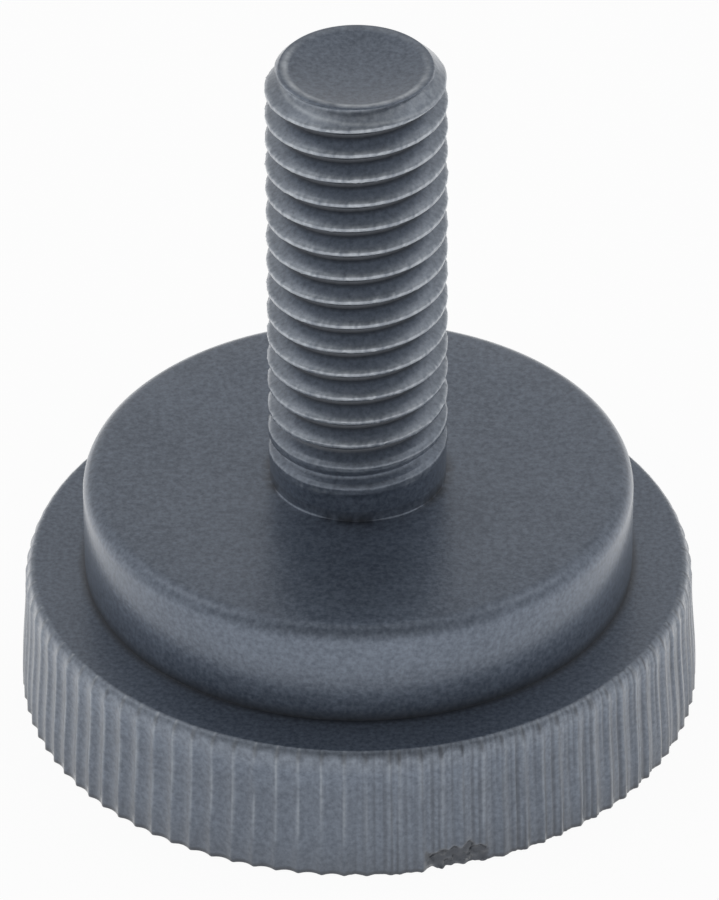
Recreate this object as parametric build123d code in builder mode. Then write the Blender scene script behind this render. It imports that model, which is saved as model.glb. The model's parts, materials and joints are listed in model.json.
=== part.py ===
from build123d import *
import math
import os

# Threaded equipment foot, turned from one steel bar: a straight-knurled rim to grip and to stand on,
# a plain collar above it, and an M8 stud that screws into the equipment. Millimetres, +Z up the stud,
# origin at the centre of the underside. The fine M8 thread is left off the solid: the stud is a plain
# cylinder over the thread's crests, with the chamfer and the dished end of the real one.

# Heights above the underside
total_height = 32.0
head_height = 11.0
rim_height = 6.3

# Diameters, and how far the rim stands out around the collar
rim_diameter = 29.9
collar_step = 2.88
stud_diameter = 7.86

# Rim: the wall leans in towards its top and rolls over a soft shoulder into a steep bevel, which ends
# the knurl's ridges below the ledge; the lower corner is barely broken
rim_draft = 2.1
rim_bevel_width = 0.4
rim_bevel_height = 0.5
rim_shoulder_round = 0.8
rim_top_round = 0.1
rim_bottom_round = 0.08

# Straight knurl: hollow flutes with a narrow ridge between each two
knurl_pitch = 1.0
flute_depth = 0.15
ridge_width = 0.1
first_ridge_angle = -165.45

# Collar: its edge is rounded, and its wall meets the ledge in a nearly sharp corner
collar_edge_round = 0.75
collar_foot_fillet = 0.1

# Stud's foot: the plain shank below the thread meets the collar's face in a fine fillet
stud_foot_fillet = 0.1

# Stud end: a chamfer up to a small lip around a shallow dish
end_chamfer = 0.62
lip_width = 0.22
lip_round = 0.08
dish_depth = 0.35

# Radii and levels that follow from the sizes above
rim_radius = rim_diameter / 2
bevel_level = rim_height - rim_bevel_height
bevel_radius = rim_radius - bevel_level * math.tan(math.radians(rim_draft))
ledge_radius = bevel_radius - rim_bevel_width
collar_radius = rim_radius - collar_step
stud_radius = stud_diameter / 2
lip_radius = stud_radius - end_chamfer
dish_radius = lip_radius - lip_width
chamfer_level = total_height - end_chamfer

# The two rounds on the ledge share its width when it is narrow
ledge_width = ledge_radius - collar_radius
ledge_share = 0.45
foot_fillet = min(collar_foot_fillet, ledge_share * ledge_width)
top_round = min(rim_top_round, ledge_share * ledge_width)

# Flutes: as many as the knurl's pitch fits around the rim, each cut by a rod that leaves the ridge
# width standing between it and the next
flute_count = round(math.pi * rim_diameter / knurl_pitch)
flute_chord = 2 * math.pi * rim_radius / flute_count - ridge_width
cutter_radius = (flute_chord**2 / 4 + flute_depth**2) / (2 * flute_depth)
cutter_centre = rim_radius - flute_depth + cutter_radius
cutter_overrun = 1.0
half_pitch_angle = 180.0 / flute_count

with BuildPart() as threaded_foot:
    # Half section of the turned body, from the axis outwards along the underside and up to the lip
    with BuildSketch(Plane.XZ) as half_section:
        with BuildLine() as outline:
            turned = FilletPolyline(
                (0, 0),
                (rim_radius, 0),
                (bevel_radius, bevel_level),
                (ledge_radius, rim_height),
                (collar_radius, rim_height),
                (collar_radius, head_height),
                (stud_radius, head_height),
                (stud_radius, chamfer_level),
                (lip_radius, total_height),
                (dish_radius, total_height),
                radius=[
                    rim_bottom_round,
                    rim_shoulder_round,
                    top_round,
                    foot_fillet,
                    collar_edge_round,
                    stud_foot_fillet,
                    0,
                    lip_round,
                ],
            )
            # The dish is a shallow bowl, so its arc meets the axis at a right angle
            bowl_radius = (dish_radius**2 + dish_depth**2) / (2 * dish_depth)
            bowl = ThreePointArc(
                turned @ 1,
                (dish_radius / 2, total_height + bowl_radius - dish_depth
                 - math.sqrt(bowl_radius**2 - dish_radius**2 / 4)),
                (0, total_height - dish_depth),
            )
            Line(bowl @ 1, (0, 0))
        make_face()
    revolve(axis=Axis.Z)

    # Knurl: each cutter leans with the rim's wall, so the flutes keep their depth all the way up
    with PolarLocations(cutter_centre, flute_count, first_ridge_angle + half_pitch_angle):
        Cylinder(
            cutter_radius,
            2 * (rim_height + cutter_overrun),
            rotation=(0, -rim_draft, 0),
            mode=Mode.SUBTRACT,
        )

threaded_foot.part.label = "threaded_foot"
os.makedirs("parts", exist_ok=True)
export_step(threaded_foot.part, "parts/threaded_foot.step")
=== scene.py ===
# %% [markdown]
# # A threaded equipment foot
# The foot is one turned piece of blackened steel: a knurled rim to stand on and to grip, a plain collar,
# and an M8 stud that screws into the equipment. The solid model already has the right sizes, but its
# stud is a plain cylinder and its knurl is perfect. This lesson makes the skin that is seen: a real
# thread that fades out into a short plain shank, a knurl whose second pass slipped by half a pitch,
# worn edges, and a satin black finish. Angles run around the stud from the front (-Y) towards the
# right (+X), lengths are in millimetres, and the finished mesh is turned into metres once.

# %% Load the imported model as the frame
import json
import math
import bpy
import numpy as np
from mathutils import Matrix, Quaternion, Vector


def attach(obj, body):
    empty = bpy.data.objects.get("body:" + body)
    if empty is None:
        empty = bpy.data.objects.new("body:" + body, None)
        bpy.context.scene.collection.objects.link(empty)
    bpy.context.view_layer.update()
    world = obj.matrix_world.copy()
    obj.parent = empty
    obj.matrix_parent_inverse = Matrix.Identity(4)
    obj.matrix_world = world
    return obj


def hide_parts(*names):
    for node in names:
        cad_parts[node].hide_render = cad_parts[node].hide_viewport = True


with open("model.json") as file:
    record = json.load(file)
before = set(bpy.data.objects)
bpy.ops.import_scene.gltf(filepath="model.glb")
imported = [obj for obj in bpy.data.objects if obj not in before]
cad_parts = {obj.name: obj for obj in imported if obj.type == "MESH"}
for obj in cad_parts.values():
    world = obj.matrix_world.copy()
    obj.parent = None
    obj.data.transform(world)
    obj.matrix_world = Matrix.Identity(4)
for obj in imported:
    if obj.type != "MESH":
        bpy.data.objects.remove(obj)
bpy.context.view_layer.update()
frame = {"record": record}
MM = 0.001

# %% [markdown]
# ## The camera
# The camera comes first, because it decides how fine each detail has to be. The photograph was taken
# from far away with a long lens, so parallel edges hardly converge. A turned part gives its own
# camera height away: its circles are seen as ellipses, and the ratio of their axes is the sine of the
# elevation. The distance comes from how much smaller the far circles are, and the roll from how the
# thread's crests and the rim's ends tip to one side.

# %% Place the camera
FILM_HEIGHT = 36.0
LENS = 390.2
CAMERA_DISTANCE = 425.6
CAMERA_ELEVATION = math.radians(34.74)
CAMERA_ROLL = math.radians(-0.296)
TARGET = Vector((0.0, 0.0, 14.0))
AIM_RIGHT = 0.065
AIM_DOWN = 1.575
NEAREST_SEEN = 10.0
FARTHEST_SEEN = 5000.0

toward_camera = Vector((0.0, -math.cos(CAMERA_ELEVATION), math.sin(CAMERA_ELEVATION)))
view_up = Vector((0.0, math.sin(CAMERA_ELEVATION), math.cos(CAMERA_ELEVATION)))
eye = TARGET + toward_camera * CAMERA_DISTANCE
aim = TARGET + Vector((AIM_RIGHT, 0.0, 0.0)) - view_up * AIM_DOWN

camera_data = bpy.data.cameras.new("camera")
# With the fit on AUTO, the film's size runs along the picture's longer side, which is its height
camera_data.sensor_fit = "AUTO"
camera_data.sensor_width = FILM_HEIGHT
camera_data.lens = LENS
camera_data.clip_start = NEAREST_SEEN * MM
camera_data.clip_end = FARTHEST_SEEN * MM
camera = bpy.data.objects.new("camera", camera_data)
bpy.context.scene.collection.objects.link(camera)
camera.location = eye * MM
camera.rotation_mode = "QUATERNION"
roll = Quaternion((0.0, 0.0, 1.0), CAMERA_ROLL)
camera.rotation_quaternion = (aim - eye).to_track_quat("-Z", "Y") @ roll
bpy.context.scene.camera = camera
print("eye, mm:", [round(v, 1) for v in eye])

# %% [markdown]
# ## Rings of points
# Every surface here is turned, so every piece of skin is a stack of rings: a grid whose rows follow
# the profile and whose columns go once around. Screw or Spin modifiers could turn a plain profile, but
# not one whose radius also changes with the angle, as a knurl's and a thread's do. So each stretch of
# skin is worked out as whole arrays of radius, angle and height. The stretches are kept in lists, of
# points, of faces, and of two marks that the finish will read: how worn the metal is, together with
# painted light and a painted highlight that make some stretches paler, and how much dirt sits there,
# together with painted shade that makes corners, the thread's roots, the shank and the rim's low wall
# darker.

# %% Lists that collect the skin
blocks = []
faces = []
wear_and_light_marks = []
grime_and_shade_marks = []


def lay(radius, angle, height, wear=0.0, grime=0.0):
    """Adds points at x = radius times sine, y = -radius times cosine of the angle, and numbers them.

    All arguments are stretched to one grid, so a plain ring can be given by a column of radii."""
    radius, angle, height, wear, grime = np.broadcast_arrays(radius, angle, height, wear, grime)
    first = sum(len(block) for block in blocks)
    corner = (radius * np.sin(angle), -radius * np.cos(angle), height)
    blocks.append(np.stack(corner, axis=-1).reshape(-1, 3))
    wear_and_light_marks.append(wear.ravel())
    grime_and_shade_marks.append(grime.ravel())
    return first + np.arange(radius.size).reshape(radius.shape)


def skin(grid):
    """Covers a grid of point numbers with quads, row to row, and closes it around the axis."""
    beside = np.roll(grid, -1, axis=1)
    faces.append(np.stack((grid[:-1], beside[:-1], beside[1:], grid[1:]), axis=-1).reshape(-1, 4))


def zip_rings(fine, coarse, coarse_above):
    """Joins a ring of points to one with fewer: each coarse point gathers the fine edges nearest to it.

    With m fine points to a coarse one, fine edges 0 to m/2 fan out from coarse point j and the rest from
    j + 1, and one wider triangle under the coarse edge fills what is left between the two fans."""
    share = len(fine) // len(coarse)
    fans = fine.reshape(len(coarse), share)
    edge_start = fans
    edge_end = np.roll(fine, -1).reshape(len(coarse), share)
    nearest = np.repeat(coarse[:, None], share, axis=1)
    after = np.roll(coarse, -1)
    nearest[:, share // 2:] = after[:, None]
    fan = np.stack((edge_start, edge_end, nearest), axis=-1).reshape(-1, 3)
    wide = np.stack((edge_start[:, share // 2], after, coarse), axis=-1)
    for triangles in (fan, wide):
        faces.append(triangles if coarse_above else triangles[:, ::-1])


def smooth_step(value, low, high):
    """Nought below low, one above high, and three t squared less two t cubed between them."""
    t = np.clip((value - low) / (high - low), 0.0, 1.0)
    return t * t * (3.0 - 2.0 * t)


def ripple(angle, height, waves, tilt, seed):
    """Even unevenness around a ring: a sum of sines with random phases that also drift with the height.

    Each sine goes a whole number of times around, so the ends meet. The sum is divided by the root of
    their count, so it lies mostly between minus one and one."""
    random = np.random.default_rng(seed)
    total = 0.0
    for count in waves:
        phase = random.uniform(0.0, 2.0 * np.pi)
        drift = random.uniform(-tilt, tilt)
        total = total + np.sin(count * angle + phase + drift * height)
    return total / math.sqrt(len(waves))


# %% [markdown]
# ## The turned profile
# The collar, its edge, the ledge of the rim, the foot of the stud and the lip of its end are plain
# turned shapes. The way a turner thinks of them is a list of corners with a radius on each.
# `turned_outline` rounds each corner with an arc, so the drawing's numbers stay readable, and the arcs
# give the edges their thin highlights.

# %% Round the corners of an outline
ARC_STEPS = 6
SAME_POINT = 1e-6


def turned_outline(corners):
    """A profile through (radius, height, rounding) corners, each rounding an arc tangent to both sides.

    The arc starts a tangent length, rounding times the tangent of half the turn, before its corner. Its
    points are the corner's two tangent points and the corner itself mixed as a rational quadratic. A
    corner with no rounding would give its point several times over, so repeats are dropped."""
    corners = np.array(corners, dtype=float)
    outline = [corners[:1, :2]]
    for before, corner, after in zip(corners[:-2], corners[1:-1], corners[2:]):
        arrive = corner[:2] - before[:2]
        leave = after[:2] - corner[:2]
        arrive /= np.hypot(*arrive)
        leave /= np.hypot(*leave)
        half_turn = math.acos(np.clip(arrive @ leave, -1.0, 1.0)) / 2
        tangent = corner[2] * math.tan(half_turn)
        start = corner[:2] - arrive * tangent
        end = corner[:2] + leave * tangent
        t = np.linspace(0.0, 1.0, ARC_STEPS)[:, None]
        weight = math.cos(half_turn)
        mixed = (1 - t) ** 2 * start + 2 * t * (1 - t) * weight * corner[:2] + t ** 2 * end
        outline.append(mixed / ((1 - t) ** 2 + 2 * t * (1 - t) * weight + t ** 2))
    outline.append(corners[-1:, :2])
    outline = np.concatenate(outline)
    steps = np.hypot(*np.diff(outline, axis=0).T)
    return outline[np.concatenate(([True], steps > SAME_POINT))]


# %% [markdown]
# ## The knurled rim
# A straight knurl is rolled: a hard toothed wheel is pressed against the turning blank and pushes a
# hollow flute at each tooth, with a narrow ridge left between two. Here the wheel went around twice and
# the second pass had slipped by half a pitch, so the left side shows one clean comb of ridges, the
# right side a rougher one half a pitch off, and between them, right of the front, both combs overlap
# in double tracks. So the radius is worked out as the metal would be: the blank, less a hollow
# wherever neither comb has a ridge, each comb fading in and out around the rim. The blank leans in
# towards its top in a gentle curve and has a rounded upper edge. The flutes run out over that edge,
# which gives the top of the knurl its row of small arches.

# %% Sizes of the rim
RIM_HEIGHT = 6.3
RIM_LOW_RADIUS = 14.93
RIM_HIGH_RADIUS = 14.71
LEAN_START = 0.6
LEAN_END = 5.4
TOP_BEVEL_WIDTH = 0.38
TOP_BEVEL_HEIGHT = 0.8
BEVEL_ROUNDNESS = 1.55
BOTTOM_ROUND = 0.07
RIDGES = 94
FLUTE_DEPTH_LOW = 0.15
FLUTE_DEPTH_HIGH = 0.10
FLUTE_END_START = 5.7
FLUTE_END_STOP = RIM_HEIGHT - 0.05
RIDGE_SHARE = 0.08
COLUMNS_PER_RIDGE = 12
FIRST_COMB_ANGLE = math.radians(-75.45)
SLIP_ANGLE = math.radians(6.57)
SLIP_RIDGE = 21 + 5 / 12
SQUEEZED_END_ANGLE = math.radians(65.6)
SQUEEZED_RIDGES = 16
print("knurl pitch, mm:", round(2.0 * np.pi * RIM_LOW_RADIUS / RIDGES, 3))

# %% [markdown]
# The columns follow the ridges, twelve to each, so every ridge gets the same clean section. On a short
# stretch right of the front the ridges stand closer, and the columns close up with them. The rows lie
# close over the bottom corner, the torn spot and the bevel, and wide apart on the plain wall between.

# %% Angles of the columns and heights of the rows
ridge_numbers = np.arange(RIDGES * COLUMNS_PER_RIDGE) / COLUMNS_PER_RIDGE
rim_angles = np.interp(
    ridge_numbers,
    [0.0, SLIP_RIDGE, SLIP_RIDGE + SQUEEZED_RIDGES, RIDGES],
    [FIRST_COMB_ANGLE, SLIP_ANGLE, SQUEEZED_END_ANGLE, FIRST_COMB_ANGLE + 2.0 * np.pi],
)
bottom_rows = [0.0, 0.015, 0.04, 0.08]
tear_rows = np.linspace(0.16, 1.36, 11)
wall_rows = np.linspace(1.7, 5.2, 8)
bevel_rows = RIM_HEIGHT - TOP_BEVEL_HEIGHT * np.cos(np.linspace(0.0, 0.5 * np.pi, 9))
rim_heights = np.concatenate((bottom_rows, tear_rows, wall_rows, bevel_rows))
print("rim grid:", len(rim_heights), "rows by", len(rim_angles), "columns")

# %% Formulas for the blank, a comb of flutes and a stretch around the rim


def wall_radius(height):
    """The rim's wall over the ridges: it leans from the low to the high radius along half a cosine wave."""
    lean = np.clip((height - LEAN_START) / (LEAN_END - LEAN_START), 0.0, 1.0)
    return RIM_HIGH_RADIUS + (RIM_LOW_RADIUS - RIM_HIGH_RADIUS) * (1 + np.cos(np.pi * lean)) / 2


def blank_radius(height):
    """The rim before knurling: its wall, less a softened bevel at the top and a small arc at the bottom.

    The bevel is a superellipse: width times one less the p-th root of one less t to the p. With p of one
    it would be a straight bevel and with p of two a quarter ellipse."""
    top = np.clip(1 - (RIM_HEIGHT - height) / TOP_BEVEL_HEIGHT, 0.0, 1.0)
    bevel = 1 - (1 - top ** BEVEL_ROUNDNESS) ** (1 / BEVEL_ROUNDNESS)
    bottom = np.clip(1 - height / BOTTOM_ROUND, 0.0, 1.0)
    corner = 1 - np.sqrt(1 - bottom ** 2)
    return wall_radius(height) - TOP_BEVEL_WIDTH * bevel - BOTTOM_ROUND * corner


def flute(number, unevenness, seed):
    """Depth of a comb of flutes: nought on each ridge's flat tip, and a parabola's hollow between two.

    Ridges stand at whole numbers. Each is shifted by up to the unevenness, a share of the pitch."""
    shifts = unevenness * np.random.default_rng(seed).uniform(-1.0, 1.0, RIDGES + 2)
    across = (number - shifts[np.round(number).astype(int)] + 0.5) % 1.0 - 0.5
    hollow = np.clip((np.abs(across) - RIDGE_SHARE / 2) / (0.5 - RIDGE_SHARE / 2), 0.0, 1.0)
    return 1.0 - (1.0 - hollow) ** 2


def around(angle, start, end, fade):
    """One between two angles and nought outside, counted the short way around, with soft ends."""
    middle = (start + end) / 2
    half = (end - start) / 2
    away = np.abs((angle - middle + np.pi) % (2.0 * np.pi) - np.pi)
    return 1.0 - smooth_step(away, half - fade / 2, half + fade / 2)


print("blank radius at mid-height, mm:", round(float(blank_radius(RIM_HEIGHT / 2)), 3))

# %% Knurl the rim
SLIP_END = math.radians(150.0)
PASS_FADE = math.radians(12.0)
ROUGH_START = math.radians(0.0)
ROUGH_END = math.radians(140.0)
RIDGE_WANDER = 0.03
SLIPPED_WANDER = 1.5
CLEAN_UNEVENNESS = 0.02
SLIPPED_UNEVENNESS = 0.07
SCORE_DEPTH = 0.03
EDGE_BREAK = 0.03
EDGE_BREAK_HEIGHT = 0.04

angle = rim_angles[None, :]
height = rim_heights[:, None]
number = ridge_numbers[None, :]
second_share = around(angle, SLIP_ANGLE, SLIP_END, PASS_FADE)
rough = around(angle, ROUGH_START, ROUGH_END, PASS_FADE)
wander = RIDGE_WANDER * rough * ripple(angle, height, (61, 83, 107, 131), 0.5, 11)
slipped_number = number - SLIP_RIDGE % 1.0 + SLIPPED_WANDER * wander
clean_ridges = 1 - flute(number + wander, CLEAN_UNEVENNESS, 13)
slipped_ridges = 1 - flute(slipped_number, SLIPPED_UNEVENNESS, 14)
clean_share = np.clip(2 * (1 - second_share), 0.0, 1.0)
slipped_share = np.clip(2 * second_share, 0.0, 1.0)
comb = 1 - np.minimum(clean_share * clean_ridges + slipped_share * slipped_ridges, 1.0)
scores = rough * ripple(angle, height, (211, 257, 307, 353, 401), 0.35, 12)
flute_depth = FLUTE_DEPTH_LOW + (FLUTE_DEPTH_HIGH - FLUTE_DEPTH_LOW) * height / RIM_HEIGHT
flute_end = 1 - smooth_step(height, FLUTE_END_START, FLUTE_END_STOP)
rim_radius = blank_radius(height) - (flute_depth - SCORE_DEPTH * scores) * comb * flute_end
broken_edge = (1 - np.clip(height / EDGE_BREAK_HEIGHT, 0.0, 1.0)) ** 2
rim_radius = rim_radius - EDGE_BREAK * broken_edge
print("knurled radius, mm:", rim_radius.min().round(3), "to", rim_radius.max().round(3))

# %% [markdown]
# The lower edge was torn right of the front, where a flake of metal broke away. A sculpted dent would
# do, but the rim's rows already lie close there, so it is one more formula: a shallow crater in the
# wall, with a steep ragged bank above it and a crumbled floor.

# %% Tear the lower edge
TEAR_ANGLE = math.radians(16.6)
TEAR_HALF_WIDTH = 1.55
TEAR_HEIGHT = 1.15
TEAR_DEPTH = 0.2
TEAR_END_FADE = 0.35
BANK_DROOP = 0.25
BANK_RAGGEDNESS = 0.14
BANK_WIDTH = 0.16

along = (angle - TEAR_ANGLE) * RIM_LOW_RADIUS
bank = TEAR_HEIGHT * (1 - BANK_DROOP * (along / TEAR_HALF_WIDTH) ** 2)
bank = bank + BANK_RAGGEDNESS * ripple(angle, 0.0, (47, 89, 149), 0.0, 21)
under_bank = 1 - smooth_step(height, bank - BANK_WIDTH, bank)
between_ends = 1 - smooth_step(np.abs(along), TEAR_HALF_WIDTH - TEAR_END_FADE, TEAR_HALF_WIDTH)
tear = under_bank * between_ends
crumble = np.clip(0.5 + 0.6 * ripple(angle, height, (61, 97, 139, 181), 22.0, 22), 0.0, 1.0)
tear_cut = TEAR_DEPTH * tear * (0.35 + 0.65 * crumble)
rim_radius = rim_radius - tear_cut
print("torn spot, deepest, mm:", tear_cut.max().round(3))

# %% [markdown]
# Wear, dirt, painted light and painted shade are worked out with the shape, because all of them know
# where a ridge stands or a hollow lies. Hands and benches rub the clean ridges and the crests of the
# fine scores pale, and the knurl's top edge is painted paler, as painted light over its wear. Dark
# oxide stays in the scores, where nothing rubs. The torn spot is darker, with a blotchy floor and
# painted shadow under its bank. The wall is darker below its top, and painted shade darkens it more
# low down, along a thin line at the bottom, and on the ridges' ends where they run out over the top.

# %% Mark the rim's wear and painted light
RIDGE_WEAR = 0.45
SCORE_WEAR = 0.08
TOP_WEAR_AND_LIGHT = 0.14
TORN_WEAR = 0.1

patchy = np.clip(0.75 + 0.45 * ripple(angle, 2.0 * height, (17, 43, 94, 151), 1.0, 15), 0.0, 1.0)
on_ridge = 1 - np.clip(comb * 4.5, 0.0, 1.0)
ridge_wear = RIDGE_WEAR * patchy * on_ridge * (1 - 0.5 * rough) * smooth_step(height, 0.2, 3.5)
score_wear = SCORE_WEAR * np.clip(scores, 0.0, 1.0)
# Painted light over wear: the knurl's top edge is painted paler
top_wear_and_light = TOP_WEAR_AND_LIGHT * smooth_step(height, 5.2, 5.8)
torn_wear = TORN_WEAR * tear * (1 - crumble)
rim_wear_and_light = np.clip(ridge_wear + score_wear + top_wear_and_light + torn_wear, 0, 1)
print("rim wear, mean:", rim_wear_and_light.mean().round(3))

# %% Mark the rim's grime and painted shade and lay its skin
RIDGE_END_SHADE = 0.55
SCORE_GRIME = 0.38
LOW_WALL_SHADE = 0.3
BELOW_TOP_DARKENING = 0.2
BOTTOM_LINE_SHADE = 0.9

bank_shadow = tear * np.exp(-(((height - bank) / 0.13 + 1.2) ** 2))
torn_floor = tear * (0.45 + 0.55 * crumble)
# Painted shade on the ridges' ends, where they run out over the top edge
ridge_ends = (1 - np.clip(comb * 2.5, 0.0, 1.0)) * smooth_step(height, 5.75, 5.95)
ridge_ends = ridge_ends * (1 - smooth_step(height, 6.1, 6.28))
score_floors = np.clip(-scores, 0.0, 1.0)
# Painted shade, darker towards the bottom of the wall
low_wall = 1 - smooth_step(height, 0.0, 2.2)
# Darker below the knurl's top
below_top = 1 - smooth_step(height, 4.0, 5.2)
# Painted contact shadow: a thin dark line along the bottom edge
painted_bottom_shadow = 1 - smooth_step(height, 0.06, 0.26)
rim_grime_and_shade = bank_shadow + torn_floor + RIDGE_END_SHADE * ridge_ends + SCORE_GRIME * score_floors
rim_grime_and_shade = rim_grime_and_shade + LOW_WALL_SHADE * low_wall + BELOW_TOP_DARKENING * below_top
rim_grime_and_shade = rim_grime_and_shade + BOTTOM_LINE_SHADE * painted_bottom_shadow
rim = lay(rim_radius, angle, height, rim_wear_and_light, np.clip(rim_grime_and_shade, 0, 1))
skin(rim)
print("rim:", rim.shape, "radius", rim_radius.min().round(3), "to", rim_radius.max().round(3))

# %% [markdown]
# ## Ledge, collar and face
# From the rim's upper edge inwards everything is plainly turned, so fewer columns are enough: one for
# every three of the rim's. `zip_rings` joins the two.

# %% Turn the ledge, the collar and its face
COLLAR_RADIUS = 12.07
HEAD_HEIGHT = 11.0
COLLAR_EDGE_ROUND = 0.75
COLLAR_FOOT_FILLET = 0.004
LEDGE_EDGE_RADIUS = 14.2
FACE_INNER_RADIUS = 4.3
# Rings between the corners keep the faces from growing long and thin
LEDGE_RINGS = (13.8, 13.1, 12.4)
WALL_RINGS = (6.9, 8.4)
FACE_RINGS = (9.4, 7.4, 5.4)
CORNER_REACH = 0.06

head_profile = turned_outline([
    (LEDGE_EDGE_RADIUS, RIM_HEIGHT, 0.0),
    *[(ring, RIM_HEIGHT, 0.0) for ring in LEDGE_RINGS],
    (COLLAR_RADIUS, RIM_HEIGHT, COLLAR_FOOT_FILLET),
    *[(COLLAR_RADIUS, level, 0.0) for level in WALL_RINGS],
    (COLLAR_RADIUS, HEAD_HEIGHT, COLLAR_EDGE_ROUND),
    *[(ring, HEAD_HEIGHT, 0.0) for ring in FACE_RINGS],
    (FACE_INNER_RADIUS, HEAD_HEIGHT, 0.0),
])
head_radii = head_profile[:, :1]
head_heights = head_profile[:, 1:]
# Painted shade: the inner corner at the collar's foot is painted dark, so that its fillet shows no bright
# line
painted_shade_corner = (head_radii < COLLAR_RADIUS + CORNER_REACH) & (head_heights < RIM_HEIGHT + CORNER_REACH)
head = lay(head_radii, rim_angles[None, ::3], head_heights, grime=1.0 * painted_shade_corner)
skin(head)
zip_rings(rim[-1], head[0], coarse_above=True)
print("head:", head.shape)

# %% [markdown]
# ## The underside
# The foot stands on this face and the photograph never shows it, so it is a plain faced disc. Its rings
# get coarser towards the middle, and one pole closes it.

# %% Close the underside
UNDERSIDE_EDGE_RADIUS = 14.2
UNDERSIDE_RADII = np.array([2.5, 6.0, 10.0, 13.0])


def cap(ring, height, above):
    """Closes a ring with triangles to one point on the axis."""
    pole = lay(0.0, np.zeros((1, 1)), height)[0, 0]
    beside = np.roll(ring, -1)
    pair = (ring, beside) if above else (beside, ring)
    faces.append(np.stack((*pair, np.full_like(ring, pole)), axis=-1))


under_edge = lay(UNDERSIDE_EDGE_RADIUS, rim_angles[None, ::3], np.zeros((1, 1)))
under = lay(UNDERSIDE_RADII[:, None], rim_angles[None, ::12], np.zeros((1, 1)))
skin(under)
zip_rings(under_edge[0], under[-1], coarse_above=False)
zip_rings(rim[0], under_edge[0], coarse_above=False)
cap(under[0], 0.0, above=False)
print("underside:", under_edge.shape, "and", under.shape)

# %% [markdown]
# ## The thread
# An M8 thread climbs 1.25 mm a turn, and its flanks stand at 60 degrees to each other. A screw can be
# made with the Screw modifier, but a real thread is not the same all the way: the tool was drawn out
# of the groove near the collar, so the last two grooves get shallow and their lands wide, with a plain
# shank below them, and at the top the end's chamfer cuts across it. So the radius is again a formula
# of angle and height. The grid follows the helix, with fourteen rows to each turn placed where the
# profile bends, so that every crest is one clean line of points.

# %% Sizes of the thread
PITCH = 1.25
STUD_RADIUS = frame["record"]["mounts"][0]["dims"]["r_mm"]
CREST_AT_FRONT = 31.217
CREST_HALF_WIDTH = PITCH / 14
GROOVE_DEPTH = 0.76
FLANK_SLOPE = math.tan(math.radians(60.0))
CREST_ROUNDING = 0.012
ROOT_ROUNDING = 0.04
FADE_START = 14.6
FADE_DEPTH_PER_MM = 0.19
LAST_CREST = 15
SHANK_DEPTH = 0.05
SHANK_LEVEL = 11.45
LAND_TAPER_START = math.radians(100.0)
LAND_TAPER_END = math.radians(178.0)
TOTAL_HEIGHT = 32.0
END_CHAMFER = 0.62
CHAMFER_LEVEL = TOTAL_HEIGHT - END_CHAMFER
# Heights of the rows within one turn, as shares of the pitch above a crest: closest at the crest's
# two edges, at 0.07 and 0.93, and closer again around the root, at a half
ROW_PHASES = np.array(
    [0.0, 0.045, 0.075, 0.15, 0.24, 0.32, 0.39, 0.46, 0.54, 0.61, 0.68, 0.78, 0.925, 0.955])
# How far below and above its edge the last land turns into the shank
SHANK_EDGE = (-0.03, 0.02)
print("thread: pitch", PITCH, "mm, crests", round(2 * CREST_HALF_WIDTH, 3), "mm wide")

# %% Formulas for the helix, the shank's upper end and the groove


def helix_height(angle):
    """Height of one crest: it rises one pitch for each turn to the right, as a right-hand thread does."""
    return CREST_AT_FRONT + PITCH * angle / (2.0 * np.pi)


def shank_top(angle):
    """Where the plain shank begins: along the lower edge of the last crest, so it climbs with the helix.

    Behind the left side, where one turn ends and the next begins, that land tapers to a point: the edge
    climbs one more pitch there, which closes it around the stud."""
    turned = (angle + np.pi) % (2.0 * np.pi) - np.pi
    edge = helix_height(turned) - PITCH * LAST_CREST - CREST_HALF_WIDTH
    return edge + PITCH * smooth_step(-turned, LAND_TAPER_START, LAND_TAPER_END)


def groove_depth(angle, height):
    """How deep the groove is: the flank's slope times the distance from the crest's edge, less what the
    tool was drawn out by.

    Soft minimum and maximum functions, made with the logarithm of a sum of exponentials, round the
    crest's edges and the root. Below the last crest there is no groove, and the shank is a hair
    thinner than the crests."""
    turns_up = (height - helix_height(angle)) / PITCH
    away = np.abs(turns_up - np.round(turns_up))
    flank = FLANK_SLOPE * (away * PITCH - CREST_HALF_WIDTH)
    cut = GROOVE_DEPTH - ROOT_ROUNDING * np.logaddexp(0.0, (GROOVE_DEPTH - flank) / ROOT_ROUNDING)
    drawn_out = FADE_DEPTH_PER_MM * np.clip(FADE_START - height, 0.0, None)
    groove = CREST_ROUNDING * np.logaddexp(0.0, (cut - drawn_out) / CREST_ROUNDING)
    threaded = smooth_step(height - shank_top(angle), *SHANK_EDGE)
    return SHANK_DEPTH + (groove - SHANK_DEPTH) * threaded


print("groove at the front, half a pitch below a crest, mm:",
      round(float(groove_depth(0.0, CREST_AT_FRONT - PITCH / 2)), 3))

# %% [markdown]
# ## The stud's end and foot
# The turner faced the end a little hollow and chamfered its edge, so that the stud finds its hole, which
# leaves a narrow lip between the two, painted brighter towards the front as a highlight over its wear.
# The chamfer cuts across the thread: wherever the groove is deeper than the chamfer, the groove stays,
# so the radius is the lesser of the two. At the other end the plain shank meets the collar's face in a
# fine fillet. It catches the light on two stretches left and right of the front, and elsewhere it is
# smaller and painted dark as painted shade. The plain shank above it is painted darker too, as
# painted shade under the thread.

# %% Lay the stud's chamfer
LIP_RADIUS = STUD_RADIUS - END_CHAMFER
LIP_TOP = 31.93
CHAMFER_EDGE_WIDTH = 0.1
CHAMFER_WEAR = 0.24
SCUFF_WEAR = 0.16
CHAMFER_EDGE_WEAR = 0.4

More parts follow.
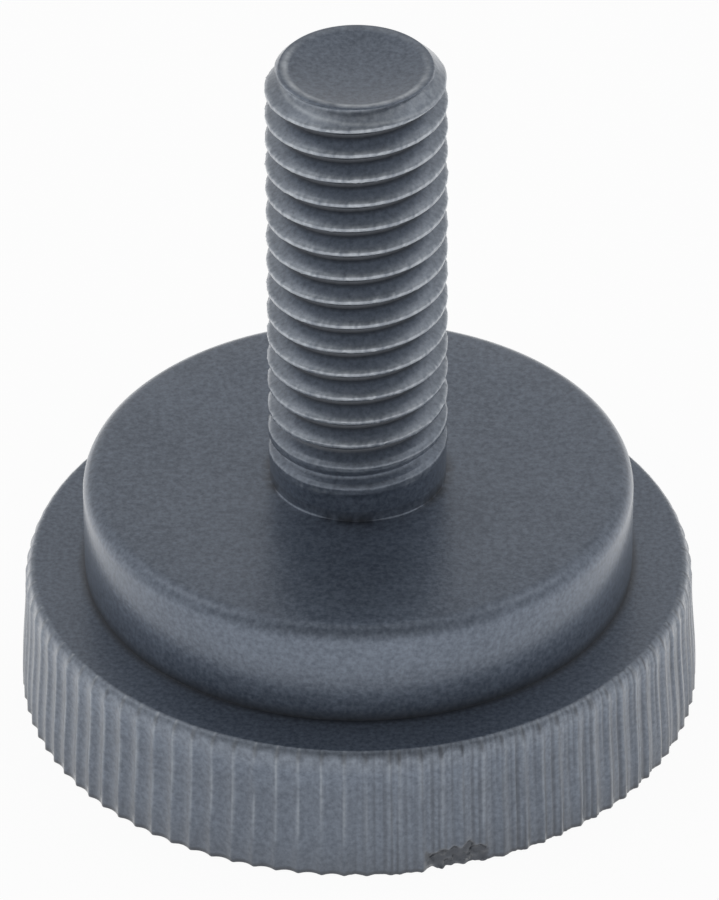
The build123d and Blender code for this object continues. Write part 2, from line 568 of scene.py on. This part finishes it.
stud_angles = rim_angles[None, ::6]
chamfer_heights = np.linspace(CHAMFER_LEVEL, LIP_TOP, 9)[:, None]
threaded_radius = STUD_RADIUS - groove_depth(stud_angles, chamfer_heights)
chamfered = STUD_RADIUS - (chamfer_heights - CHAMFER_LEVEL)
scuffs = ripple(stud_angles, 20.0 * chamfer_heights, (7, 19, 37, 71), 2.0, 33)
scuffs = np.clip(0.5 + 0.8 * scuffs, 0.0, 1.0)
chamfer_edge = (chamfered < STUD_RADIUS - 0.001) * (chamfered > STUD_RADIUS - CHAMFER_EDGE_WIDTH)
chamfer_wear = CHAMFER_WEAR + SCUFF_WEAR * scuffs + CHAMFER_EDGE_WEAR * chamfer_edge
chamfer = lay(np.minimum(threaded_radius, chamfered), stud_angles, chamfer_heights, chamfer_wear)
skin(chamfer)
print("chamfer:", chamfer.shape)

# %% Lay the lip and the dish
DISH_RADIUS = 3.08
DISH_DEPTH = 0.35
DISH_POWER = 2.2
LIP_START = 0.04
LIP_OUTER_ROUND = 0.06
LIP_INNER_ROUND = 0.08
LIP_WIDTH_WORN = 0.08
# Where the lip is painted brighter as a highlight over its wear: from, to, and how softly it ends
LIP_HIGHLIGHT = [math.radians(v) for v in (-115.0, 85.0, 50.0)]

# Below its rim, the dish lies deeper by its depth times one less the share of its radius to the power
dish_radii = DISH_RADIUS * np.sin(np.linspace(0.5 * np.pi, 0.06, 9))[1:]
dish = TOTAL_HEIGHT - DISH_DEPTH * (1 - (dish_radii / DISH_RADIUS) ** DISH_POWER)
lip_profile = turned_outline([
    (LIP_RADIUS + LIP_START, TOTAL_HEIGHT - LIP_START, 0.0),
    (LIP_RADIUS, TOTAL_HEIGHT, LIP_OUTER_ROUND),
    (DISH_RADIUS, TOTAL_HEIGHT, LIP_INNER_ROUND),
    (dish_radii[0], dish[0], 0.0),
])
lip_radii = np.concatenate((lip_profile[:, 0], dish_radii[1:]))[:, None]
lip_heights = np.concatenate((lip_profile[:, 1], dish[1:]))[:, None]
lip_wear_and_highlight = np.clip(0.75 + 0.3 * ripple(stud_angles, 0.0, (3, 7, 13, 22), 0.0, 34), 0.0, 1.0)
# Painted highlight: the lip is paler towards the front over its scuffs all around
lip_wear_and_highlight = lip_wear_and_highlight * (0.25 + 0.75 * around(stud_angles, *LIP_HIGHLIGHT))
on_lip = np.abs(lip_radii - DISH_RADIUS) < LIP_WIDTH_WORN
lip = lay(lip_radii, stud_angles, lip_heights, lip_wear_and_highlight * on_lip)
skin(np.concatenate((chamfer[-1:], lip)))
cap(lip[-1], TOTAL_HEIGHT - DISH_DEPTH, above=True)
print("lip and dish:", lip.shape)

# %% Lay the shank's foot below the thread
SHANK_FOOT_FILLET = 0.08
DARK_FILLET_SHARE = 0.12
# Where the fillet catches the light: from, to, and how softly it ends
GLINT_LEFT = [math.radians(v) for v in (-66.0, -22.0, 14.0)]
GLINT_RIGHT = [math.radians(v) for v in (12.0, 44.0, 12.0)]
# Painted shade on the plain shank under the thread
SHANK_SHADE = 0.35

shank_radius = STUD_RADIUS - SHANK_DEPTH
shank_profile = turned_outline([
    (FACE_INNER_RADIUS, HEAD_HEIGHT, 0.0),
    (shank_radius, HEAD_HEIGHT, SHANK_FOOT_FILLET),
    (shank_radius, SHANK_LEVEL, 0.0),
])[1:]
shiny = around(stud_angles, *GLINT_LEFT)
shiny = shiny + 0.85 * around(stud_angles, *GLINT_RIGHT)
# Painted shade on the fillet, blotchy, except where it catches the light
foot_shade = np.clip(0.75 + 0.4 * ripple(stud_angles, 0.0, (11, 29, 53), 0.0, 35), 0.0, 1.0)
foot_shade = (1 - shiny) * foot_shade
on_fillet = shank_profile[:, 1:] < HEAD_HEIGHT + SHANK_FOOT_FILLET + 0.001
fillet_size = np.where(on_fillet, DARK_FILLET_SHARE + (1 - DARK_FILLET_SHARE) * shiny, 1.0)
shank_radii = shank_radius + (shank_profile[:, :1] - shank_radius) * fillet_size
shank_heights = HEAD_HEIGHT + (shank_profile[:, 1:] - HEAD_HEIGHT) * fillet_size
shank = lay(shank_radii, stud_angles, shank_heights, grime=np.where(on_fillet, foot_shade, SHANK_SHADE))
skin(shank)
zip_rings(head[-1], shank[0], coarse_above=True)
print("shank:", shank.shape, "radius", round(shank_radius, 3))

# %% [markdown]
# ## Winding the thread
# Each row of the grid climbs along the helix from where it leaves the shank's ring to where it meets
# the chamfer's. Before and after that it has no points of its own and uses the ring's, so its quads
# shrink to triangles there and the skin stays closed. One turn on, a row is the continuation of the row
# that lies a whole pitch above it.

# %% Find the rows' points
RING_GAP = 0.004

rows_per_turn = len(ROW_PHASES)
turns_below = math.ceil((CREST_AT_FRONT - SHANK_LEVEL) / PITCH) + 2
turns = np.arange(-turns_below, 3)
phases = (turns[:, None] + ROW_PHASES).ravel()[:, None]
helix = helix_height(stud_angles) + PITCH * phases
on_helix = (helix > SHANK_LEVEL + RING_GAP) & (helix < CHAMFER_LEVEL - RING_GAP)
numbers = np.where(helix < (SHANK_LEVEL + CHAMFER_LEVEL) / 2, shank[-1:], chamfer[:1])
helix_angle = np.broadcast_to(stud_angles, helix.shape)[on_helix]
helix_level = helix[on_helix]
depth = groove_depth(helix_angle, helix_level)
print("thread rows:", numbers.shape, "points:", int(on_helix.sum()))

# %% Mark the thread's wear, painted light and painted shade
CREST_WEAR = 0.74
FLANK_WEAR_AND_LIGHT = 0.26
LAST_FLANK_WEAR = 0.07
SCRAPE_WEAR = 0.4
ROOT_SHADE = 0.95
BURR_SHARE = 0.022
BURR_SEED = 32
# Where the last land is scraped bright: from, to, and how softly it ends
SCRAPE_LEFT = [math.radians(v) for v in (-46.0, -16.0, 16.0)]
SCRAPE_RIGHT = [math.radians(v) for v in (30.0, 58.0, 14.0)]

ragged = ripple(helix_angle, 3.0 * helix_level, (9, 23, 41, 67, 101), 2.0, 31)
above_shank = helix_level - shank_top(helix_angle)
on_thread = smooth_step(above_shank, *SHANK_EDGE)
on_crest = np.clip(1 - depth / 0.05, 0.0, 1.0) * on_thread
faded = smooth_step(FADE_START - helix_level, -0.4, 1.6)
height_up_flank = np.clip(1 - depth / GROOVE_DEPTH, 0.0, 1.0)
# Painted light over wear: the flanks are painted paler, more so towards the crests, where the groove shades
# them less
flank_wear_and_light = FLANK_WEAR_AND_LIGHT * on_thread * (1 - 0.8 * faded) * height_up_flank ** 0.4
burr = on_crest * (1 - faded) * (np.random.default_rng(BURR_SEED).random(depth.shape) < BURR_SHARE)
crest_wear = on_crest * (1 - 0.85 * faded) * (np.clip(CREST_WEAR + 0.3 * ragged, 0.0, 1.0) + 0.9 * burr)
scraped = around(helix_angle, *SCRAPE_LEFT)
scraped = scraped + around(helix_angle, *SCRAPE_RIGHT)
last_flank_wear = LAST_FLANK_WEAR + SCRAPE_WEAR * scraped * np.clip(0.6 + ragged, 0.0, 1.0)
last_flank_wear = last_flank_wear * on_thread * (1 - smooth_step(above_shank, 0.1, 0.55))
thread_wear_and_light = np.maximum(np.maximum(crest_wear, last_flank_wear), flank_wear_and_light)
# Painted shade in the thread's roots
painted_root_shade = ROOT_SHADE * smooth_step(depth, 0.52, 0.68)
print("burrs:", int((burr > 0).sum()))

# %% Wind the thread from the shank to the chamfer
CREST_UNEVENNESS = 0.012
BURR_HEIGHT = 0.03

thread_radius = STUD_RADIUS - depth - CREST_UNEVENNESS * on_crest * (1 + ragged) + BURR_HEIGHT * burr
numbers[on_helix] = lay(thread_radius, helix_angle, helix_level, thread_wear_and_light, painted_root_shade)
wound = np.concatenate((numbers[:-rows_per_turn], numbers[rows_per_turn:, :1]), axis=1)
low_left = wound[:-1, :-1].ravel()
low_right = wound[:-1, 1:].ravel()
high_left = wound[1:, :-1].ravel()
high_right = wound[1:, 1:].ravel()
open_left = low_left != high_left
open_right = low_right != high_right
whole = open_left & open_right
left_only = open_left & ~open_right
right_only = open_right & ~open_left
faces.append(np.stack((low_left, low_right, high_right, high_left), axis=-1)[whole])
faces.append(np.stack((low_left, low_right, high_left), axis=-1)[left_only])
faces.append(np.stack((low_left, low_right, high_right), axis=-1)[right_only])
print("thread: quads", int(whole.sum()), "triangles", int(left_only.sum() + right_only.sum()))

# %% [markdown]
# ## One closed mesh
# The stretches share their rings, so the whole foot is one closed surface with no seam. The arrays go
# straight into the mesh, now in metres, and the two marks go with them as attributes of the points.

# %% Make the mesh


def build_mesh(name):
    """A mesh of all the points and faces laid so far, smooth, in metres, with the two marks."""
    mesh = bpy.data.meshes.new(name)
    corners = np.concatenate([block.ravel() for block in faces])
    sizes = np.concatenate([np.full(len(block), block.shape[1]) for block in faces])
    starts = np.concatenate(([0], np.cumsum(sizes)[:-1]))
    points = np.concatenate(blocks) * MM
    mesh.vertices.add(len(points))
    mesh.vertices.foreach_set("co", points.astype(np.float32).ravel())
    mesh.loops.add(len(corners))
    mesh.loops.foreach_set("vertex_index", corners.astype(np.int32))
    mesh.polygons.add(len(sizes))
    mesh.polygons.foreach_set("loop_start", starts.astype(np.int32))
    mesh.polygons.foreach_set("use_smooth", np.ones(len(sizes), dtype=bool))
    mesh.update(calc_edges=True)
    for label, values in (("wear", wear_and_light_marks), ("grime", grime_and_shade_marks)):
        layer = mesh.attributes.new(label, "FLOAT", "POINT")
        layer.data.foreach_set("value", np.concatenate(values).astype(np.float32))
    print(name, "points", len(points), "triangles", int((sizes - 2).sum()), "faults", mesh.validate())
    return mesh


foot = bpy.data.objects.new("finished_foot", build_mesh("finished_foot"))
bpy.context.scene.collection.objects.link(foot)

# %% [markdown]
# ## The finish
# Blackened steel is bare steel with a thin dark oxide skin: it reflects like a metal, but darkly, with
# a blue-grey cast and a satin blur, and the film of oil that protects it adds a sharper gleam, which
# is strongest at a glancing view. It could be made as a dark plastic, but its scratches would not be
# bare metal. So the shader is mostly metallic with a dark colour, keeps a small share of plain
# scatter, and has a clear coat for the oil. Fine grain varies its colour and roughness. The wear mark
# turns it to paler bare steel along crests and ridges, and it also carries painted light on the
# thread's flanks and the knurl's top edge and a painted highlight on the stud's lip. The grime mark
# darkens the dirt in the scores, and it also carries painted shade in the thread's roots, the inner
# corners, on the shank under the thread, under the torn spot's bank and low on the rim.

# %% Small helpers for shader nodes


def feed(tree, socket, value):
    """Links an output socket to an input socket, or sets the input to a plain value."""
    if isinstance(value, bpy.types.NodeSocket):
        tree.links.new(value, socket)
    else:
        socket.default_value = value


def add_node(tree, kind, **inputs):
    """A new node with its named inputs fed; an underscore in a name stands for a space."""
    node = tree.nodes.new(kind)
    for name, value in inputs.items():
        feed(tree, node.inputs[name.replace("_", " ")], value)
    return node


def calculate(tree, operation, *values):
    """The result of a math node on values or sockets."""
    node = tree.nodes.new("ShaderNodeMath")
    node.operation = operation
    for socket, value in zip(node.inputs, values):
        feed(tree, socket, value)
    return node.outputs[0]


def mix_colors(tree, share, first, second):
    """The first colour, turning into the second by the share."""
    node = tree.nodes.new("ShaderNodeMix")
    node.data_type = "RGBA"
    for name, value in (("Factor", share), ("A", first), ("B", second)):
        feed(tree, node.inputs[name], value)
    return node.outputs["Result"]


def noise(tree, place, scale, detail, roughness):
    """Soft random values from nought to one around a half, in blobs about a metre over the scale wide."""
    node = add_node(tree, "ShaderNodeTexNoise", Vector=place, Scale=scale, Detail=detail)
    node.inputs["Roughness"].default_value = roughness
    return node.outputs["Fac"]


def mark(tree, name):
    """A mark that the mesh carries on its points."""
    node = tree.nodes.new("ShaderNodeAttribute")
    node.attribute_name = name
    return node.outputs["Fac"]


# %% Blackened steel: where it is pale, worn and dark, and where light and shade are painted
OXIDE_DARK = (0.090, 0.114, 0.156, 1.0)
OXIDE_PALE = (0.190, 0.228, 0.290, 1.0)
WORN_AND_LIT_STEEL = (0.52, 0.56, 0.61, 1.0)
SOOT_AND_SHADE = (0.030, 0.034, 0.044, 1.0)
GRAIN_SCALE = 4600.0
CLOUD_SCALE = 260.0
GRAIN_CONTRAST = 5.0
GRAIN_LEVEL = -2.1
GRIME_AND_SHADE_STRENGTH = 0.85

steel = bpy.data.materials.new("blackened_steel")
steel.use_nodes = True
tree = steel.node_tree
tree.nodes.clear()
place = tree.nodes.new("ShaderNodeTexCoord").outputs["Object"]
grain = noise(tree, place, GRAIN_SCALE, 3.0, 0.6)
clouds = noise(tree, place, CLOUD_SCALE, 4.0, 0.55)
speckle = calculate(tree, "MULTIPLY_ADD", grain, GRAIN_CONTRAST, GRAIN_LEVEL)
mottle = calculate(tree, "MULTIPLY_ADD", clouds, 0.5, calculate(tree, "MULTIPLY", speckle, 0.5))
oxide = mix_colors(tree, mottle, OXIDE_DARK, OXIDE_PALE)
# Painted light: the wear mark makes bare steel of real wear, and it also paints flanks, the knurl's top and
# the lip's front paler
rubbed_and_lit = calculate(tree, "MULTIPLY", mark(tree, "wear"), calculate(tree, "MULTIPLY_ADD", grain, 1.2, 0.3))
worn_and_lit = mix_colors(tree, calculate(tree, "MINIMUM", rubbed_and_lit, 1.0), oxide, WORN_AND_LIT_STEEL)
# Painted shade: the grime mark darkens real dirt, and it also darkens corners, roots, the shank and the
# rim's low wall to stand in for shade
soiled_and_shaded = mix_colors(tree, calculate(tree, "MULTIPLY", mark(tree, "grime"), GRIME_AND_SHADE_STRENGTH), worn_and_lit, SOOT_AND_SHADE)
print("steel so far, nodes:", len(tree.nodes))

# %% Blackened steel: how it shines
ROUGHNESS_LEVEL = 0.35
ROUGHNESS_SPREAD = 0.16
BUMP_STRENGTH = 0.3
BUMP_DISTANCE = 0.03 * MM
METALLIC = 0.82
OIL_FILM = 1.0
OIL_ROUGHNESS = 0.24

roughness = calculate(tree, "MULTIPLY_ADD", grain, ROUGHNESS_SPREAD, ROUGHNESS_LEVEL)
bump = add_node(tree, "ShaderNodeBump", Strength=BUMP_STRENGTH, Distance=BUMP_DISTANCE, Height=grain)
bumped = bump.outputs["Normal"]
surface = add_node(tree, "ShaderNodeBsdfPrincipled", Base_Color=soiled_and_shaded, Roughness=roughness, Normal=bumped)
surface.inputs["Metallic"].default_value = METALLIC
surface.inputs["Coat Weight"].default_value = OIL_FILM
surface.inputs["Coat Roughness"].default_value = OIL_ROUGHNESS
tree.links.new(bumped, surface.inputs["Coat Normal"])
output = tree.nodes.new("ShaderNodeOutputMaterial")
tree.links.new(surface.outputs["BSDF"], output.inputs["Surface"])
foot.data.materials.append(steel)
print("steel, nodes:", len(tree.nodes))

# %% [markdown]
# ## Floor and light
# The photograph is a cut-out on white, so the floor is a plain pale plane. What the camera and the
# glossy metal see of it is nearly all its own white, and the rest is lit, so that it still keeps the
# foot's shadow. The light is that of a small studio tent: even walls all around, soft panels low in
# front and at the sides, narrower lamps on each side, one high and one on the horizon, which draw the
# gleam along the collar's edge, and a darker gap high in front, where the tent is open for the camera.

# %% Lay the floor
# The floor's size is in metres
FLOOR_SIZE = 3.0
PAPER = (0.94, 0.94, 0.94, 1.0)
WHITE = (1.0, 1.0, 1.0, 1.0)
OWN_WHITE = 0.95
FLOOR_GLOW = 1.0

reach = FLOOR_SIZE / 2
floor_corners = [(-reach, -reach, 0.0), (reach, -reach, 0.0), (reach, reach, 0.0), (-reach, reach, 0.0)]
floor_mesh = bpy.data.meshes.new("floor")
floor_mesh.from_pydata(floor_corners, [], [(0, 1, 2, 3)])
floor = bpy.data.objects.new("floor", floor_mesh)
bpy.context.scene.collection.objects.link(floor)
paper = bpy.data.materials.new("paper")
paper.use_nodes = True
tree = paper.node_tree
tree.nodes.clear()
rays = tree.nodes.new("ShaderNodeLightPath").outputs
mirrored = calculate(tree, "MAXIMUM", rays["Is Glossy Ray"], rays["Is Transmission Ray"])
seen = calculate(tree, "MAXIMUM", rays["Is Camera Ray"], mirrored)
lit = add_node(tree, "ShaderNodeBsdfDiffuse", Color=PAPER)
own = add_node(tree, "ShaderNodeEmission", Color=WHITE, Strength=FLOOR_GLOW)
mixed = add_node(tree, "ShaderNodeMixShader", Fac=calculate(tree, "MULTIPLY", seen, OWN_WHITE))
tree.links.new(lit.outputs[0], mixed.inputs[1])
tree.links.new(own.outputs[0], mixed.inputs[2])
output = tree.nodes.new("ShaderNodeOutputMaterial")
tree.links.new(mixed.outputs[0], output.inputs["Surface"])
floor_mesh.materials.append(paper)
print("floor, m:", FLOOR_SIZE)

# %% Light the tent
TENT_WALL = 0.54
# Each panel: its angle from the front towards the right and its height above the horizon in degrees,
# how sharply it is bounded, and how much brighter than the wall it is at its middle, less for a gap
PANELS = [
    (0.0, 60.0, 3.0, -0.42),
    (0.0, 30.0, 8.0, 0.12),
    (0.0, 5.0, 8.0, 0.14),
    (-45.0, 15.0, 6.0, 0.16),
    (45.0, 15.0, 6.0, 0.10),
    (-90.0, 15.0, 4.0, 0.10),
    (90.0, 15.0, 4.0, 0.12),
    (-100.0, 56.0, 26.0, 0.90),
    (100.0, 56.0, 26.0, 0.80),
    (-108.0, -2.0, 30.0, 0.6),
    (108.0, -2.0, 30.0, 0.5),
]


def panel_glow(tree, direction, azimuth, elevation, sharpness):
    """One towards the panel's middle, falling off as the cosine of the angle from it to the sharpness."""
    turn = math.radians(azimuth)
    level = math.cos(math.radians(elevation))
    toward = (level * math.sin(turn), -level * math.cos(turn), math.sin(math.radians(elevation)))
    aligned = tree.nodes.new("ShaderNodeVectorMath")
    aligned.operation = "DOT_PRODUCT"
    tree.links.new(direction, aligned.inputs[0])
    aligned.inputs[1].default_value = toward
    facing = calculate(tree, "MAXIMUM", aligned.outputs["Value"], 0.0)
    return calculate(tree, "POWER", facing, sharpness)


world = bpy.data.worlds.new("tent")
bpy.context.scene.world = world
world.use_nodes = True
tree = world.node_tree
tree.nodes.clear()
direction = tree.nodes.new("ShaderNodeTexCoord").outputs["Generated"]
glow = TENT_WALL
for azimuth, elevation, sharpness, strength in PANELS:
    panel = panel_glow(tree, direction, azimuth, elevation, sharpness)
    glow = calculate(tree, "MULTIPLY_ADD", panel, strength, glow)
background = add_node(tree, "ShaderNodeBackground", Color=WHITE, Strength=glow)
output = tree.nodes.new("ShaderNodeOutputWorld")
tree.links.new(background.outputs[0], output.inputs["Surface"])
bpy.context.scene.view_settings.view_transform = "Standard"
print("panels:", len(PANELS))

# %% Hand the foot over
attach(foot, "root")
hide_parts("threaded_foot")
